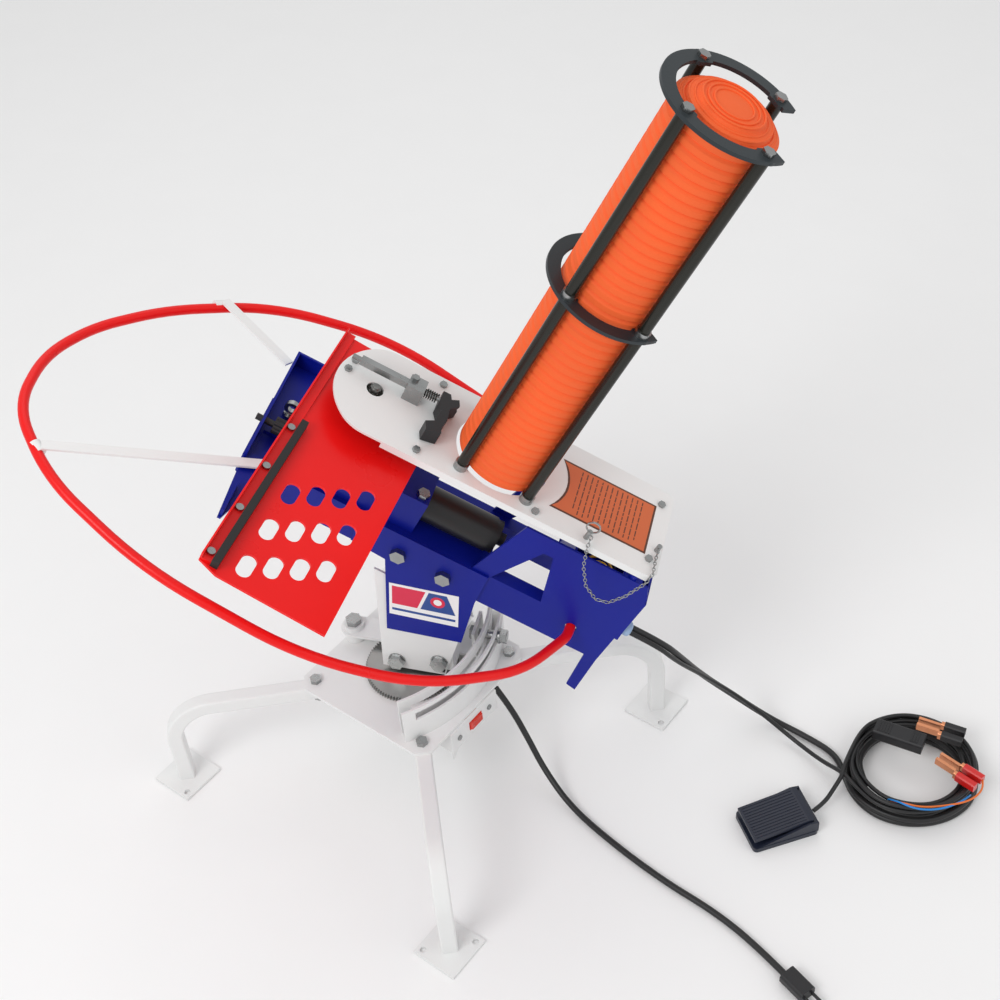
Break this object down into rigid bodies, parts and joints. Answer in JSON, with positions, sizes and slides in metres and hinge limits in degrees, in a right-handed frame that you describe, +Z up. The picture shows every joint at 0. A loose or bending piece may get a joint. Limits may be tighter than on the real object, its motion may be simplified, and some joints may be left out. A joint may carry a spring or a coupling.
{
  "type": "clay target thrower",
  "caption": "Electric clay target thrower on a four-legged wobble base: tilting head, spinning arm, guard hoop, clay rack, foot pedal and battery leads",
  "frame": {"origin": "on the floor at the centre of the four foot plates", "axes": "+X throwing direction, +Y the machine's left, +Z up"},
  "size_m": [1.0919, 0.6586, 0.9673],
  "materials": {
    "black_plastic": "moulded black plastic",
    "black_steel": "satin black coated tube",
    "blue_paint": "gloss royal blue powder coat",
    "cable_black": "black PVC cable sheath",
    "clay_orange": "matt fluorescent orange pitch and limestone clay",
    "clip_copper": "copper-plated steel",
    "gear_steel": "machined steel, lightly oiled",
    "gland_blue": "pale blue-grey nylon",
    "motor_black": "satin black enamel",
    "pedal_navy": "dark navy moulded plastic",
    "red_paint": "gloss bright red enamel",
    "ring_grey": "dark slate coated steel",
    "rocker_red": "translucent red plastic",
    "rubber": "black moulded rubber",
    "white_paint": "semi-gloss white powder coat",
    "zinc": "bright zinc-plated steel"
  },
  "bodies": {
    "base": {"base_plate": "white_paint", "leg_front": "white_paint", "leg_left": "white_paint", "leg_rear": "white_paint", "leg_right": "white_paint", "switch_panel": "white_paint", "base_fasteners": "zinc", "wobble_motor": "motor_black", "arc_guide": "white_paint", "power_cable": "cable_black", "pedal_cable": "cable_black", "pedal_tail": "cable_black", "wobble_cable": "cable_black", "power_coil": "cable_black", "pedal_coil": "cable_black", "mains_plug": "black_plastic", "inline_connector": "black_plastic", "clip_handles": "black_plastic", "pedal_base": "pedal_navy"},
    "rocker": {"rocker_switch": "rocker_red"},
    "pinion": {"drive_pinion": "gear_steel"},
    "gear": {"crank_gear": "gear_steel"},
    "red_jaw": {"red_clip_jaw": "clip_copper"},
    "black_jaw": {"black_clip_jaw": "clip_copper"},
    "treadle": {"pedal_treadle": "pedal_navy"},
    "swing": {"swing_platform": "white_paint", "swing_bolts": "zinc"},
    "head": {"tilt_bracket": "white_paint", "pedestal": "blue_paint", "main_frame": "blue_paint", "head_bolts": "zinc", "front_bracket": "blue_paint", "spring_anchor": "zinc", "main_spring": "gear_steel", "rear_box": "blue_paint", "cable_gland": "gland_blue", "gear_motor": "motor_black", "gearbox": "blue_paint", "spindle_bearings": "gear_steel", "magazine_plate": "white_paint", "magazine_rods": "black_steel", "rod_collars": "zinc", "middle_ring": "ring_grey", "top_ring": "ring_grey", "feed_block": "zinc", "feed_spring": "black_steel", "guard_hoop": "red_paint", "hoop_struts": "white_paint"},
    "arm": {"spindle": "gear_steel", "arm_plate": "red_paint", "arm_rail": "red_paint", "rubber_strip": "rubber", "rail_screws": "zinc"},
    "shaft": {"motor_shaft": "gear_steel"},
    "knob": {"tension_knob": "black_plastic"},
    "feeder": {"feed_bar": "zinc", "feed_finger": "black_plastic"},
    "pin": {"safety_pin": "zinc"},
    "clays": {"clay_stack": "clay_orange", "top_clay": "clay_orange"}
  },
  "joints": [
    {"name": "head_swing", "type": "hinge", "parent": "base", "child": "swing", "pos_m": [0.086, -0.037, 0.16], "axis": [0, 0, 1], "range_deg": [-46, 6]},
    {"name": "head_tilt", "type": "hinge", "parent": "swing", "child": "head", "pos_m": [0.0135, -0.037, 0.1736], "axis": [0, 1, 0], "range_deg": [0, 14]},
    {"name": "arm_spin", "type": "hinge", "parent": "head", "child": "arm", "pos_m": [0.009, -0.037, 0.5635], "axis": [-0.4726, 0, 0.8813], "continuous": true},
    {"name": "motor_spin", "type": "hinge", "parent": "head", "child": "shaft", "pos_m": [0.00763, -0.024, 0.43908], "axis": [0.8813, 0, 0.4726], "continuous": true},
    {"name": "gear_spin", "type": "hinge", "parent": "base", "child": "gear", "pos_m": [0, 0, 0.15], "axis": [0, 0, 1], "continuous": true},
    {"name": "pinion_spin", "type": "hinge", "parent": "base", "child": "pinion", "pos_m": [-0.02266, -0.06225, 0.15], "axis": [0, 0, 1], "continuous": true},
    {"name": "rocker_press", "type": "hinge", "parent": "base", "child": "rocker", "pos_m": [-0.08984, 0.05036, 0.126], "axis": [0, 0, 1], "range_deg": [-6, 6]},
    {"name": "pedal_press", "type": "hinge", "parent": "base", "child": "treadle", "pos_m": [-0.4969, 0.0255, 0.024], "axis": [-0.5151, 0.8571, 0], "range_deg": [0, 4], "stiffness_Nm_per_rad": 3},
    {"name": "red_clip_open", "type": "hinge", "parent": "base", "child": "red_jaw", "pos_m": [-0.6745, -0.0479, 0.042], "axis": [0, 0, 1], "range_deg": [0, 8], "stiffness_Nm_per_rad": 0.5},
    {"name": "black_clip_open", "type": "hinge", "parent": "base", "child": "black_jaw", "pos_m": [-0.65083, -0.107, 0.042], "axis": [0, 0, 1], "range_deg": [0, 8], "stiffness_Nm_per_rad": 0.5},
    {"name": "tension_turn", "type": "hinge", "parent": "head", "child": "knob", "pos_m": [0.13133, -0.035, 0.49407], "axis": [0.8813, 0, 0.4726], "range_deg": [-180, 180]},
    {"name": "feed_push", "type": "slide", "parent": "head", "child": "feeder", "axis": [-0.8813, 0, -0.4726], "range_m": [0, 0.007], "stiffness_N_per_m": 800},
    {"name": "pin_lift", "type": "slide", "parent": "head", "child": "pin", "axis": [-0.4726, 0, 0.8813], "range_m": [0, 0.03]},
    {"name": "clay_lift", "type": "slide", "parent": "head", "child": "clays", "axis": [-0.4726, 0, 0.8813], "range_m": [0, 0.5]}
  ],
  "couplings": [
    {"joint": "motor_spin", "follows": "arm_spin", "ratio": -2.6667},
    {"joint": "pinion_spin", "follows": "gear_spin", "ratio": -6.5714}
  ]
}
